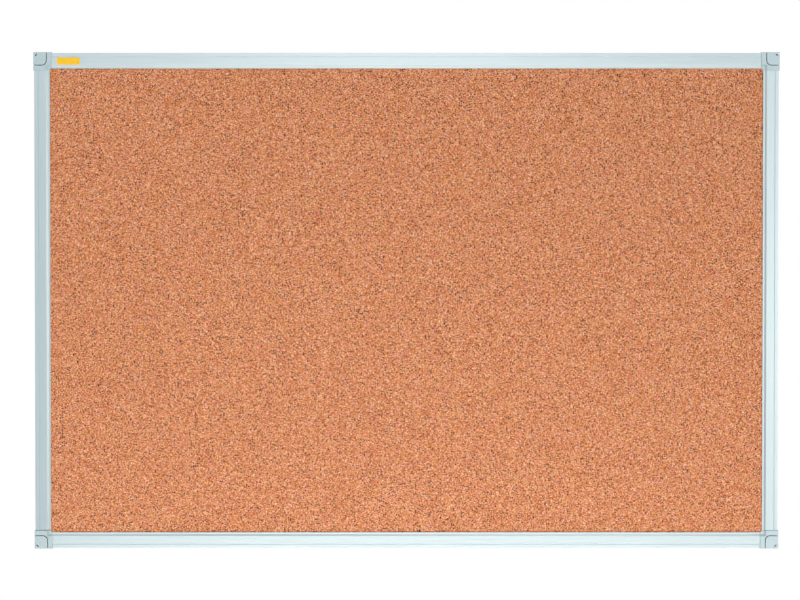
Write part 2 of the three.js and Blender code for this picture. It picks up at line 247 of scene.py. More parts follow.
def settle(piece):
    """The piece's place, turn and size go into its mesh."""
    take(piece)
    bpy.ops.object.transform_apply(location=True, rotation=True, scale=True)


def cube(name, one, other):
    """A cube grown to fill the box between two opposite corners."""
    put_down()
    bpy.ops.mesh.primitive_cube_add(size=1, location=(one + other) / 2)
    piece = bpy.context.object
    piece.name = piece.data.name = name
    piece.scale = [abs(side) for side in other - one]
    settle(piece)
    return piece


def rod(name, radius, one, other, sides=BORE_SIDES):
    """A round bar between two points in line with Y."""
    put_down()
    bpy.ops.mesh.primitive_cylinder_add(
        vertices=sides,
        radius=radius * MM,
        depth=(other - one).length,
        location=(one + other) / 2,
        rotation=(QUARTER_TURN, 0, 0),
    )
    piece = bpy.context.object
    piece.name = piece.data.name = name
    settle(piece)
    return piece


def pick(piece, kind, wanted):
    """In edit mode, selects just the parts that a test on their place or normal wants."""
    if piece.mode != "EDIT":
        take(piece)
        bpy.ops.object.mode_set(mode="EDIT")
    bpy.ops.mesh.select_mode(type=kind)
    bpy.ops.mesh.select_all(action="DESELECT")
    form = bmesh.from_edit_mesh(piece.data)
    parts = {"VERT": form.verts, "EDGE": form.edges, "FACE": form.faces}[kind]
    for part in parts:
        if wanted(part):
            part.select_set(True)
    form.select_flush_mode()
    bmesh.update_edit_mesh(piece.data)


def near(value, target):
    """Whether a coordinate is at a target that is given in millimetres."""
    return abs(value - target * MM) < SAME_PLACE * MM


def along(edge, axis):
    """Whether an edge runs along X, Y or Z."""
    run = edge.verts[1].co - edge.verts[0].co
    return abs(run[axis]) > STRAIGHT * run.length


def round_edges(piece, wanted, radius, segments):
    """Rounds the edges that a test wants, and stays in edit mode."""
    pick(piece, "EDGE", wanted)
    bpy.ops.mesh.bevel(offset=radius * MM, segments=segments, affect="EDGES")


def combine(piece, tool, operation="DIFFERENCE"):
    """Cuts one piece with another, or joins them, and throws the tool away."""
    take(piece)
    step = piece.modifiers.new("shape", "BOOLEAN")
    step.operation = operation
    step.object = tool
    step.solver = "EXACT"
    bpy.ops.object.modifier_apply(modifier=step.name)
    bpy.data.meshes.remove(tool.data)


def finish_form(piece):
    """Merged, facing outwards and shaded smooth over its rounds, with its flats left flat."""
    take(piece)
    bpy.ops.object.mode_set(mode="EDIT")
    bpy.ops.mesh.select_all(action="SELECT")
    bpy.ops.mesh.remove_doubles(threshold=MERGE_REACH * MM)
    bpy.ops.mesh.normals_make_consistent(inside=False)
    bpy.ops.object.mode_set(mode="OBJECT")
    bpy.ops.object.shade_smooth_by_angle(angle=SMOOTH_ANGLE)
    flats = piece.modifiers.new("flats", "WEIGHTED_NORMAL")
    flats.keep_sharp = True
    bpy.ops.object.modifier_apply(modifier=flats.name)


def copy_turned(piece, name, turn, place):
    """A copy with its own mesh, turned about Y and moved."""
    made = piece.copy()
    made.data = piece.data.copy()
    made.name = made.data.name = name
    bpy.context.scene.collection.objects.link(made)
    made.rotation_euler = (0, turn, 0)
    made.location = place
    settle(made)
    return made


def fit(piece, body, node, material):
    """The piece takes its finish, rides on its body and stands for its CAD node."""
    piece.data.materials.clear()
    piece.data.materials.append(material)
    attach(piece, body)
    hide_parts(node)


# Rails: modelled for the top, with the outer edge at z = 0 and the back at y = 0

def in_section(u, v, x=0.0):
    """The point of the section at u and v, and x metres along the rail from its middle."""
    return Vector((x, -v * MM, -u * MM))


def section_place(point):
    """A point's u and v, in millimetres."""
    return -point.z / MM, -point.y / MM


def rail_waste(u, v):
    """Whether a place on the section is outside the metal."""
    past_lip = RAIL_DEPTH - v
    groove = 1 - 2 * abs(u - GROOVE_FROM_EDGE) / GROOVE_WIDTH
    return (
        (RAIL_WALL < u < CHAMBER_END and RAIL_WALL < v < RAIL_DEPTH - RAIL_WALL)
        or (u > CHANNEL_END and RAIL_WALL < v < CHANNEL_FRONT)
        or (u > BACK_LIP_END and v < RAIL_WALL)
        or (u > FLAT_WIDTH + SLOPE_WIDTH and v > LIP_FRONT)
        or (v > LIP_FRONT and u - FLAT_WIDTH > past_lip)
        or past_lip < GROOVE_DEPTH * groove
    )


def rail_section():
    """A flat sheet the size of the section, with everything but the metal cut away."""
    put_down()
    bpy.ops.mesh.primitive_plane_add(size=1, rotation=(0, QUARTER_TURN, 0))
    sheet = bpy.context.object
    sheet.scale = (FACE_WIDTH * MM, RAIL_DEPTH * MM, 1)
    sheet.location = in_section(FACE_WIDTH / 2, RAIL_DEPTH / 2)
    settle(sheet)
    across, up, slant = Vector((0, 0, 1)), Vector((0, 1, 0)), Vector((0, 1, 1))
    groove_wall = Vector((0, GROOVE_WIDTH / 2, GROOVE_DEPTH))
    cuts = [(in_section(u, 0), across) for u in (
        RAIL_WALL, CHAMBER_END, CHANNEL_END, BACK_LIP_END, FLAT_WIDTH + SLOPE_WIDTH,
    )]
    cuts += [(in_section(0, v), up) for v in (
        RAIL_WALL, CHANNEL_FRONT, LIP_FRONT, RAIL_DEPTH - RAIL_WALL,
    )]
    cuts.append((in_section(FLAT_WIDTH, RAIL_DEPTH), slant))
    groove_bottom = in_section(GROOVE_FROM_EDGE, RAIL_DEPTH - GROOVE_DEPTH)
    cuts.append((groove_bottom, groove_wall))
    cuts.append((groove_bottom, groove_wall * Vector((0, 1, -1))))
    take(sheet)
    bpy.ops.object.mode_set(mode="EDIT")
    for point, normal in cuts:
        bpy.ops.mesh.select_all(action="SELECT")
        bpy.ops.mesh.bisect(plane_co=point, plane_no=normal)
    pick(sheet, "FACE", lambda face: rail_waste(*section_place(face.calc_center_median())))
    bpy.ops.mesh.delete(type="FACE")
    return sheet


def rail_round(piece, u, v, radius, segments):
    """Rounds the long edge that runs the rail's length at u, v."""
    def wanted(edge):
        return all(near(-end.co.z, u) and near(-end.co.y, v) for end in edge.verts)
    round_edges(piece, wanted, radius, segments)


def rail_form(name, span, gaps):
    """The section drawn out to its length, with its edges eased as a die leaves them. Its
    gaps to the two corner blocks differ, as a fitter's hands leave them."""
    start = (CORNER_SIZE + gaps[0] - span / 2) * MM
    length = (span - 2 * CORNER_SIZE - sum(gaps)) * MM
    rail = rail_section()
    rail.name = rail.data.name = name
    bpy.ops.mesh.select_all(action="SELECT")
    bpy.ops.transform.translate(value=(start, 0, 0))
    bpy.ops.mesh.extrude_region_move(TRANSFORM_OT_translate={"value": (length, 0, 0)})
    pick(rail, "FACE", lambda face: abs(face.normal.x) > FACING)
    bpy.ops.mesh.delete(type="FACE")
    bpy.ops.mesh.select_all(action="SELECT")
    bpy.ops.mesh.dissolve_limited(angle_limit=FLAT_ANGLE)
    for place in RAIL_ROUNDS:
        rail_round(rail, *place)
    for end in (start, start + length):
        pick(rail, "EDGE", lambda edge: edge.is_boundary and all(
            abs(corner.co.x - end) < SAME_PLACE * MM for corner in edge.verts))
        bpy.ops.mesh.fill(use_beauty=True)
    middle = (SPIGOT_NEAR + SPIGOT_FAR) / 2 - RAIL_SIDE_STEP
    for side in (-1, 1):
        along_rail = side * (span / 2 - SCREW_FROM_SIDE) * MM
        hole = screw_form(THREAD_GAP, OVERRUN)
        hole.location = in_section(middle, 0, along_rail)
        settle(hole)
        combine(rail, hole)
    finish_form(rail)
    return rail


# Corner screws: the head's face at y = 0 and the tip towards -Y

def screw_form(gap=0.0, above=0.0):
    """A countersunk screw, or with a gap the hole for one, which also runs on above the head."""
    shank = SCREW_RADIUS + gap
    head = SCREW_HEAD_RADIUS + gap
    neck = SCREW_HEAD_RADIUS - SCREW_RADIUS + SCREW_HEAD_RIM
    made = rod(
        "corner_screw", shank,
        Vector((0, -neck * MM, 0)), Vector((0, (SCREW_TIP - SCREW_LENGTH) * MM, 0)),
    )
    pick(made, "FACE", lambda face: face.normal.y > FACING)
    bpy.ops.mesh.extrude_region_move(
        TRANSFORM_OT_translate={"value": (0, (neck - SCREW_HEAD_RIM) * MM, 0)})
    bpy.ops.transform.resize(value=(head / shank, 1, head / shank))
    bpy.ops.mesh.extrude_region_move(
        TRANSFORM_OT_translate={"value": (0, (SCREW_HEAD_RIM + above) * MM, 0)})
    pick(made, "FACE", lambda face: face.normal.y < -FACING)
    bpy.ops.mesh.extrude_region_move(
        TRANSFORM_OT_translate={"value": (0, -(SCREW_TIP + gap) * MM, 0)})
    bpy.ops.transform.resize(value=(SCREW_TIP_SHARE, 1, SCREW_TIP_SHARE))
    put_down()
    return made


def corner_screw():
    """The screw with its cross recess, whose arms narrow towards the bottom."""
    screw = screw_form()
    depth = Vector((0, RECESS_DEPTH * MM, 0))
    for wide, high in ((RECESS_LENGTH, RECESS_WIDTH), (RECESS_WIDTH, RECESS_LENGTH)):
        half = Vector((wide / 2, 0, high / 2)) * MM
        arm = cube("recess", -half - depth, half + depth)
        pick(arm, "FACE", lambda face: face.normal.y < -FACING)
        bpy.ops.transform.resize(value=(RECESS_FLOOR_SHARE, 1, RECESS_FLOOR_SHARE))
        combine(screw, arm)
    finish_form(screw)
    return screw


# Corner blocks: modelled for the top right, with the outer corner at the origin

def at(a, b, v):
    """The point at a, b and v, in metres."""
    return Vector((-a, -v, -b)) * MM


def swapped(a, b, other):
    """The block is alike in both directions, so what is made for one is swapped for the other."""
    return (b, a) if other else (a, b)


def upright_at(a, b):
    """Picks the edge from back to front that stands at a, b."""
    return lambda edge: along(edge, Y) and all(
        near(-end.co.x, a) and near(-end.co.z, b) for end in edge.verts)


def rim_at(*depths):
    """Picks the edges that lie in the faces at these depths."""
    return lambda edge: any(
        all(near(-end.co.y, depth) for end in edge.verts) for depth in depths)


def block_body():
    """The square block with rounded edges, notched at the cork's corner."""
    block = cube("corner_block", at(0, 0, 0), at(CORNER_SIZE, CORNER_SIZE, BLOCK_DEPTH))
    round_edges(block, upright_at(0, 0), CORNER_RADIUS, CORNER_SEGMENTS)
    round_edges(block, rim_at(0, BLOCK_DEPTH), CORNER_EDGE, EDGE_SEGMENTS)
    past = CORNER_SIZE + OVERRUN
    notch = cube("notch", at(LIP_EDGE, LIP_EDGE, -OVERRUN), at(past, past, BLOCK_DEPTH + OVERRUN))
    round_edges(notch, upright_at(LIP_EDGE, LIP_EDGE), CORK_ROUND, CORK_SEGMENTS)
    combine(block, notch)
    return block


def lip_step_cutter():
    """What is cut away so that the rails' slope and lip run on round the cork's corner."""
    past = CORNER_SIZE + OVERRUN
    start = LIP_EDGE - LIP_WIDTH
    lip = RAIL_STEP + LIP_FRONT
    top = BLOCK_DEPTH + OVERRUN
    cutter = cube("lip_step", at(start, start, lip), at(past, past, top))
    back = (top - lip) * MM
    pick(cutter, "VERT", lambda corner: near(-corner.co.y, top) and near(-corner.co.x, start))
    bpy.ops.transform.translate(value=(back, 0, 0))
    pick(cutter, "VERT", lambda corner: near(-corner.co.y, top) and near(-corner.co.z, start))
    bpy.ops.transform.translate(value=(0, 0, back))
    put_down()
    return cutter


def spigot(other):
    """The arm that goes into a rail's end, hollow on both sides of the screw's boss."""
    end = CORNER_SIZE + SPIGOT_LENGTH
    arm = cube(
        "spigot",
        at(*swapped(CORNER_SIZE - OVERRUN, SPIGOT_NEAR, other), SPIGOT_BACK),
        at(*swapped(end, SPIGOT_FAR, other), SPIGOT_FRONT),
    )
    for side in (SPIGOT_NEAR, SPIGOT_FAR):
        round_edges(arm, upright_at(*swapped(end, side, other)), SPIGOT_TIP, CHAMFER_SEGMENTS)
    near_side = SPIGOT_NEAR + SPIGOT_WALL
    far_side = SPIGOT_FAR - SPIGOT_WALL
    for start, stop in (
        (CORNER_SIZE + SPIGOT_WALL, SCREW_FROM_SIDE - SCREW_BOSS / 2),
        (SCREW_FROM_SIDE + SCREW_BOSS / 2, end - SPIGOT_WALL),
    ):
        combine(arm, cube(
            "hollow",
            at(*swapped(start, near_side, other), SPIGOT_BACK + SPIGOT_FLOOR),
            at(*swapped(stop, far_side, other), SPIGOT_FRONT + OVERRUN),
        ))
    place = swapped(SCREW_FROM_SIDE, (SPIGOT_NEAR + SPIGOT_FAR) / 2, other)
    depth = RAIL_STEP + SCREW_LENGTH
    radius = SCREW_RADIUS + THREAD_GAP
    combine(arm, rod("pilot", radius, at(*place, 0), at(*place, depth), SMALL_SIDES))
    return arm


def cover_room():
    """The cutters for the cover: its seat, with a deeper seam round it, and a ledge for its
    skirt."""
    wide = COVER_SIZE + COVER_SEAM
    top = BLOCK_DEPTH + OVERRUN
    floor = COVER_SEAT - SEAM_SINK
    seat = cube("seat", at(-OVERRUN, -OVERRUN, floor), at(wide, wide, top))
    round_edges(seat, upright_at(wide, wide), COVER_RADIUS + COVER_SEAM, SEAM_SEGMENTS)
    rest = COVER_SIZE - SEAM_TUCK
    under = cube("under", at(-2 * OVERRUN, -2 * OVERRUN, 0), at(rest, rest, COVER_SEAT))
    round_edges(under, upright_at(rest, rest), COVER_RADIUS - SEAM_TUCK, SEAM_SEGMENTS)
    combine(seat, under)
    ledge = BLOCK_DEPTH - SKIRT_DEPTH - FIT_GAP
    inner = SKIRT_WALL + FIT_GAP
    return [seat] + [
        cube(
            "ledge",
            at(-OVERRUN, -OVERRUN, ledge),
            at(*swapped(inner, wide, other), top),
        )
        for other in (False, True)
    ]


def corner_block():
    """The whole block: its body and spigots, less the panel's groove, the cork's corner, the
    cover's room and the bores."""
    block = block_body()
    for other in (False, True):
        combine(block, spigot(other), "UNION")
    past = CORNER_SIZE + OVERRUN
    start = RAIL_SIDE_STEP + CHANNEL_END
    back, front = RAIL_STEP + RAIL_WALL, RAIL_STEP + CHANNEL_FRONT
    combine(block, cube("groove", at(start, start, back), at(past, past, front)))
    combine(block, lip_step_cutter())
    for cutter in cover_room():
        combine(block, cutter)
    well = (WELL_FROM_SIDE, WELL_FROM_SIDE)
    slot = (SLOT_FROM_SIDE, SLOT_FROM_SIDE)
    top = BLOCK_DEPTH + OVERRUN
    for radius, place, floor in (
        (WELL_RADIUS, well, WELL_FLOOR),
        (WALL_HOLE_RADIUS, well, -OVERRUN),
        (SLOT_RELIEF_RADIUS, slot, COVER_SEAT - SLOT_RELIEF_DEPTH),
        (PEG_RADIUS + PEG_GAP, (PEG_FAR, PEG_NEAR), COVER_BACK - PEG_LENGTH - FIT_GAP),
        (PEG_RADIUS + PEG_GAP, (PEG_NEAR, PEG_FAR), COVER_BACK - PEG_LENGTH - FIT_GAP),
    ):
        combine(block, rod("bore", radius, at(*place, floor), at(*place, top)))
    finish_form(block)
    return block


# Covers, in the corner block's place

def slot_cutter():
    """The slanted slot with round ends, for a screwdriver's tip."""
    half = Vector((SLOT_LENGTH / 2, OVERRUN * 2, SLOT_WIDTH / 2)) * MM
    cutter = cube("slot", -half, half)
    round_edges(cutter, lambda edge: along(edge, Y), SLOT_WIDTH * SLOT_END_SHARE, SLOT_SEGMENTS)
    cutter.rotation_euler = (0, QUARTER_TURN / 2, 0)
    cutter.location = at(SLOT_FROM_SIDE, SLOT_FROM_SIDE, BLOCK_DEPTH - OVERRUN)
    settle(cutter)
    return cutter


def corner_cover():
    """A plate with a skirt on its two outer sides and two pegs behind."""
    skirt = BLOCK_DEPTH - SKIRT_DEPTH
    cover = cube("corner_cover", at(0, 0, skirt), at(COVER_SIZE, COVER_SIZE, BLOCK_DEPTH))
    round_edges(cover, upright_at(0, 0), CORNER_RADIUS, CORNER_SEGMENTS)
    round_edges(cover, upright_at(COVER_SIZE, COVER_SIZE), COVER_RADIUS, SEAM_SEGMENTS)
    round_edges(cover, rim_at(BLOCK_DEPTH), COVER_EDGE, COVER_EDGE_SEGMENTS)
    past = COVER_SIZE + OVERRUN
    combine(cover, cube(
        "hollow",
        at(SKIRT_WALL, SKIRT_WALL, skirt - OVERRUN),
        at(past, past, COVER_BACK),
    ))
    for other in (False, True):
        place = swapped(PEG_FAR, PEG_NEAR, other)
        tip, root = COVER_BACK - PEG_LENGTH, COVER_BACK + PEG_ROOT
        peg = rod("peg", PEG_RADIUS, at(*place, tip), at(*place, root), SMALL_SIDES)
        round_edges(peg, rim_at(tip), PEG_RADIUS * PEG_TIP_SHARE, EDGE_SEGMENTS)
        combine(cover, peg, "UNION")
    combine(cover, slot_cutter())
    finish_form(cover)
    return cover


# Panel and label

def cork_face():
    """The cork sheet: a fine net over its front, raised and sunk a little by its granules, and
    drawn back to a flat rear face."""
    low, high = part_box("cork_sheet")
    size = high - low
    put_down()
    bpy.ops.mesh.primitive_grid_add(
        x_subdivisions=round(size.x / (CORK_MESH * MM)),
        y_subdivisions=round(size.z / (CORK_MESH * MM)),
        size=1,
        rotation=(QUARTER_TURN, 0, 0),
    )
    sheet = bpy.context.object
    sheet.name = sheet.data.name = "cork_face"
    sheet.scale = (size.x, size.z, 1)
    sheet.location = ((low.x + high.x) / 2, low.y + CORK_RELIEF * MM, (low.z + high.z) / 2)
    settle(sheet)
    granules = bpy.data.textures.new("granules", "VORONOI")
    granules.noise_scale = CORK_SWELL * MM
    relief = sheet.modifiers.new("relief", "DISPLACE")
    relief.texture = granules
    relief.strength = CORK_RELIEF * MM
    relief.mid_level = 0.5
    bpy.ops.object.modifier_apply(modifier=relief.name)
    pick(sheet, "EDGE", lambda edge: edge.is_boundary)
    bpy.ops.mesh.extrude_region_move(TRANSFORM_OT_translate={"value": (0, OVERRUN * MM, 0)})
    bpy.ops.transform.resize(value=(1, 0, 1), center_override=(0, high.y, 0))
    bpy.ops.mesh.edge_face_add()
    bpy.ops.mesh.select_all(action="SELECT")
    bpy.ops.mesh.normals_make_consistent(inside=False)
    take(sheet)
    bpy.ops.object.shade_smooth_by_angle(angle=SMOOTH_ANGLE)
    return sheet


def blank_label():
    """The small sticker, with rounded corners and nothing on it."""
    sticker = cube("sticker", *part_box("label"))
    round_edges(sticker, lambda edge: along(edge, Y), LABEL_CORNER, CORNER_SEGMENTS)
    finish_form(sticker)
    return sticker


# Materials

# A mix node's sockets share their names, so they go by number: two inputs and the output
NUMBER_FIRST, NUMBER_SECOND, NUMBER_MIXED = 2, 3, 0
COLOUR_FIRST, COLOUR_SECOND, COLOUR_MIXED = 6, 7, 2


def linear(written):
    """An sRGB colour written in hex, as linear light."""
    shares = [int(written[place:place + 2], 16) / 255 for place in (1, 3, 5)]
    return [
        share / 12.92 if share <= 0.04045 else ((share + 0.055) / 1.055) ** 2.4
        for share in shares
    ] + [1.0]


def add(tree, kind, inputs=None, **settings):
    """Adds a node with its settings. An input is a value, or another node's output to link."""
    made = tree.nodes.new(kind)
    for name, value in settings.items():
        setattr(made, name, value)
    for socket, value in (inputs or {}).items():
        if isinstance(value, bpy.types.NodeSocket):
            tree.links.new(value, made.inputs[socket])
        else:
            made.inputs[socket].default_value = value
    return made


def set_stops(ramp, stops):
    """Fills a colour ramp from places and hex colours."""
    elements = ramp.color_ramp.elements
    while len(elements) < len(stops):
        elements.new(1.0)
    for element, (place, colour) in zip(elements, stops):
        element.position = place
        element.color = linear(colour)
    return ramp.outputs["Color"]


def new_material(name):
    """A material with its tree emptied but for the shader and the output."""
    made = bpy.data.materials.new(name)
    made.use_nodes = True
    tree = made.node_tree
    tree.nodes.clear()
    shader = add(tree, "ShaderNodeBsdfPrincipled")
    add(tree, "ShaderNodeOutputMaterial", {"Surface": shader.outputs["BSDF"]})
    place = add(tree, "ShaderNodeTexCoord").outputs["Object"]
    return made, tree, shader, place


def per_mm(size):
    """The scale that makes a pattern's features this many millimetres across."""
    return 1 / (size * MM)


def agglomerated_cork():
    """Ground cork pressed with glue and sanded flat: matt, warm, each granule its own tan,
    with dark bark bits in faint warm rims between them. The bits are drawn as coarse as they
    need to be to show from a camera that sees the whole board."""
    made, tree, shader, place = new_material("agglomerated_cork")
    wander = add(tree, "ShaderNodeTexNoise", {
        "Vector": place, "Scale": per_mm(GRANULE_WANDER), "Detail": 1.0})
    shifted = add(tree, "ShaderNodeVectorMath", {
        0: wander.outputs["Color"], 1: [WANDER_REACH * MM] * 3, 2: place},
        operation="MULTIPLY_ADD").outputs["Vector"]
    granule = add(tree, "ShaderNodeTexVoronoi", {"Vector": shifted, "Scale": per_mm(GRANULE)})
    granule_draw = add(tree, "ShaderNodeSeparateColor", {"Color": granule.outputs["Color"]})
    tan = set_stops(add(tree, "ShaderNodeValToRGB", {"Fac": granule_draw.outputs["Red"]}), [
        (0.0, "#662c10"), (0.09, "#93471c"), (0.22, "#bb6a3b"), (0.42, "#d28252"),
        (0.61, "#df9266"), (0.79, "#f1b58d"), (0.91, "#f9d6ba"), (1.0, "#f9efe1")])
    drift = add(tree, "ShaderNodeTexNoise", {
        "Vector": place, "Scale": per_mm(CORK_DRIFT), "Detail": 1.0})
    hue = add(tree, "ShaderNodeMapRange", {
        "Value": drift.outputs["Fac"], "From Min": 0.35, "From Max": 0.65})
    tinge = add(tree, "ShaderNodeMix", {
        "Factor": hue.outputs["Result"],
        COLOUR_FIRST: linear("#fffddc"),
        COLOUR_SECOND: linear("#fff4ff")}, data_type="RGBA")
    tinged = add(tree, "ShaderNodeMix", {
        "Factor": 1.0,
        COLOUR_FIRST: tan,
        COLOUR_SECOND: tinge.outputs[COLOUR_MIXED]}, data_type="RGBA", blend_type="MULTIPLY")
    parts = add(tree, "ShaderNodeSeparateXYZ", {"Vector": shifted})
    flat = add(tree, "ShaderNodeCombineXYZ", {"X": parts.outputs["X"], "Y": parts.outputs["Z"]})
    bit = add(tree, "ShaderNodeTexVoronoi", {
        "Vector": flat.outputs["Vector"], "Scale": per_mm(BARK_BIT)}, voronoi_dimensions="2D")
    bit_draw = add(tree, "ShaderNodeSeparateColor", {"Color": bit.outputs["Color"]})
    chosen = add(tree, "ShaderNodeMapRange", {
        "Value": bit_draw.outputs["Red"], "From Min": 0.8, "From Max": 0.92})
    rim = add(tree, "ShaderNodeMapRange", {
        "Value": bit.outputs["Distance"], "From Min": 0.9, "From Max": 0.52, "To Max": 0.3})
    core = add(tree, "ShaderNodeMapRange", {
        "Value": bit.outputs["Distance"], "From Min": 0.47, "From Max": 0.36})
    rim_share = add(tree, "ShaderNodeMath", {
        0: rim.outputs["Result"], 1: chosen.outputs["Result"]}, operation="MULTIPLY")
    core_share = add(tree, "ShaderNodeMath", {
        0: core.outputs["Result"], 1: chosen.outputs["Result"]}, operation="MULTIPLY")
    rimmed = add(tree, "ShaderNodeMix", {
        "Factor": rim_share.outputs["Value"],
        COLOUR_FIRST: tinged.outputs[COLOUR_MIXED],
        COLOUR_SECOND: linear("#ffcaa0")}, data_type="RGBA")
    colour = add(tree, "ShaderNodeMix", {
        "Factor": core_share.outputs["Value"],
        COLOUR_FIRST: rimmed.outputs[COLOUR_MIXED],
        COLOUR_SECOND: linear("#421000")}, data_type="RGBA")
    tree.links.new(colour.outputs[COLOUR_MIXED], shader.inputs["Base Color"])
    shader.inputs["Roughness"].default_value = 0.8
    shader.inputs["Specular IOR Level"].default_value = 0.25
    bump = add(tree, "ShaderNodeBump", {
        "Height": granule.outputs["Distance"], "Strength": 0.3, "Distance": 0.1 * MM})
    tree.links.new(bump.outputs["Normal"], shader.inputs["Normal"])
    return made


def anodised_aluminium(name, run):
    """Extruded and anodised aluminium: satin metal, tinted a pale cold grey, with fine die
    lines along the run that draw its highlights out across it. The lines are drawn wider than
    real ones, so that they show."""
    made, tree, shader, place = new_material(name)
    across_lines = per_mm(DIE_LINE_WIDTH)
    along_lines = per_mm(DIE_LINE_LENGTH)
    stretch = [along_lines if axis == run else across_lines for axis in range(3)]
    stretched = add(tree, "ShaderNodeMapping", {"Vector": place, "Scale": stretch})
    lines = add(tree, "ShaderNodeTexNoise", {
        "Vector": stretched.outputs["Vector"], "Scale": 1.0, "Detail": 2.0})
    colour = set_stops(add(tree, "ShaderNodeValToRGB", {"Fac": lines.outputs["Fac"]}), [
        (0.3, "#aebfc4"), (0.7, "#b9cacf")])
    tree.links.new(colour, shader.inputs["Base Color"])
    rough = add(tree, "ShaderNodeMapRange", {
        "Value": lines.outputs["Fac"], "From Min": 0.3, "From Max": 0.7,
        "To Min": 0.34, "To Max": 0.42})
    tree.links.new(rough.outputs["Result"], shader.inputs["Roughness"])
    shader.inputs["Metallic"].default_value = 1.0
    shader.inputs["Anisotropic"].default_value = 0.7
    across = add(tree, "ShaderNodeCombineXYZ", {
        "X": 0.0 if run == X else 1.0, "Z": 1.0 if run == X else 0.0})
    tree.links.new(across.outputs["Vector"], shader.inputs["Tangent"])
    bump = add(tree, "ShaderNodeBump", {
        "Height": lines.outputs["Fac"], "Strength": 0.25, "Distance": 0.02 * MM})
    tree.links.new(bump.outputs["Normal"], shader.inputs["Normal"])
    return made


def lacquered_abs():
    """Injection-moulded ABS under a silver lacquer: pale cold grey with the soft sheen of its
    metal flakes, over the fine matt grain of a sparked mould."""
    made, tree, shader, place = new_material("lacquered_abs")
    grain = add(tree, "ShaderNodeTexNoise", {
        "Vector": place, "Scale": per_mm(MOULD_GRAIN), "Detail": 3.0})
    cloud = add(tree, "ShaderNodeTexNoise", {
        "Vector": place, "Scale": per_mm(LACQUER_CLOUD), "Detail": 2.0})
    both = add(tree, "ShaderNodeMix", {
        "Factor": 0.4,
        NUMBER_FIRST: grain.outputs["Fac"],
        NUMBER_SECOND: cloud.outputs["Fac"]}, data_type="FLOAT").outputs[NUMBER_MIXED]
    colour = set_stops(add(tree, "ShaderNodeValToRGB", {"Fac": both}), [
        (0.3, "#a5b8be"), (0.7, "#aec3c9")])
    tree.links.new(colour, shader.inputs["Base Color"])
    shader.inputs["Metallic"].default_value = 0.8
    rough = add(tree, "ShaderNodeMapRange", {
        "Value": grain.outputs["Fac"], "To Min": 0.45, "To Max": 0.6})
    tree.links.new(rough.outputs["Result"], shader.inputs["Roughness"])
    bump = add(tree, "ShaderNodeBump", {
        "Height": grain.outputs["Fac"], "Strength": 0.3, "Distance": 0.05 * MM})
    tree.links.new(bump.outputs["Normal"], shader.inputs["Normal"])
    return made


def zinc_plated_steel():
    """Zinc-plated steel: bright bluish metal, a little cloudy from the bath."""
    made, tree, shader, place = new_material("zinc_plated_steel")
    cloud = add(tree, "ShaderNodeTexNoise", {
        "Vector": place, "Scale": per_mm(PLATING_CLOUD), "Detail": 3.0})
    colour = set_stops(add(tree, "ShaderNodeValToRGB", {"Fac": cloud.outputs["Fac"]}), [
        (0.3, "#b4babf"), (0.7, "#cdd1d3")])
    tree.links.new(colour, shader.inputs["Base Color"])
    rough = add(tree, "ShaderNodeMapRange", {
        "Value": cloud.outputs["Fac"], "To Min": 0.22, "To Max": 0.4})
    tree.links.new(rough.outputs["Result"], shader.inputs["Roughness"])
    shader.inputs["Metallic"].default_value = 1.0
    return made


def yellow_vinyl():
    """Yellow vinyl sticker: even colour, a soft gloss and a little orange peel."""
    made, tree, shader, place = new_material("yellow_vinyl")
    peel = add(tree, "ShaderNodeTexNoise", {
        "Vector": place, "Scale": per_mm(ORANGE_PEEL), "Detail": 1.0})
    colour = set_stops(add(tree, "ShaderNodeValToRGB", {"Fac": peel.outputs["Fac"]}), [
        (0.3, "#fccf24"), (0.7, "#ffd82e")])
    tree.links.new(colour, shader.inputs["Base Color"])
    shader.inputs["Roughness"].default_value = 0.4
    bump = add(tree, "ShaderNodeBump", {
        "Height": peel.outputs["Fac"], "Strength": 0.2, "Distance": 0.02 * MM})
    tree.links.new(bump.outputs["Normal"], shader.inputs["Normal"])
    return made


def backing_paper():
    """Grey recycled paper: matt, with short fibres and soft cloudy patches."""
    made, tree, shader, place = new_material("backing_paper")
    squeezed = add(tree, "ShaderNodeMapping", {"Vector": place, "Scale": (1.0, 1.0, 0.35)})
    fibre = add(tree, "ShaderNodeTexNoise", {
        "Vector": squeezed.outputs["Vector"], "Scale": per_mm(PAPER_FIBRE), "Detail": 4.0})
    cloud = add(tree, "ShaderNodeTexNoise", {
        "Vector": place, "Scale": per_mm(PAPER_CLOUD), "Detail": 3.0})
    both = add(tree, "ShaderNodeMix", {
        "Factor": 0.45,
        NUMBER_FIRST: fibre.outputs["Fac"],
        NUMBER_SECOND: cloud.outputs["Fac"]}, data_type="FLOAT").outputs[NUMBER_MIXED]
    colour = set_stops(add(tree, "ShaderNodeValToRGB", {"Fac": both}), [
        (0.35, "#a6a39b"), (0.65, "#bebcb5")])
    tree.links.new(colour, shader.inputs["Base Color"])
    shader.inputs["Roughness"].default_value = 0.9
    bump = add(tree, "ShaderNodeBump", {
        "Height": both, "Strength": 0.4, "Distance": 0.1 * MM})
    tree.links.new(bump.outputs["Normal"], shader.inputs["Normal"])
    return made


def softboard():
    """Soft wood-fibre board: brown, matt and felted, with pale and dark fibres."""
    made, tree, shader, place = new_material("softboard")
    fibre = add(tree, "ShaderNodeTexNoise", {
        "Vector": place, "Scale": per_mm(WOOD_FIBRE), "Detail": 5.0})
    colour = set_stops(add(tree, "ShaderNodeValToRGB", {"Fac": fibre.outputs["Fac"]}), [
        (0.3, "#8f7657"), (0.7, "#b89b77")])
    tree.links.new(colour, shader.inputs["Base Color"])
    shader.inputs["Roughness"].default_value = 0.95
    bump = add(tree, "ShaderNodeBump", {
        "Height": fibre.outputs["Fac"], "Strength": 0.6, "Distance": 0.3 * MM})
    tree.links.new(bump.outputs["Normal"], shader.inputs["Normal"])
    return made


# Studio

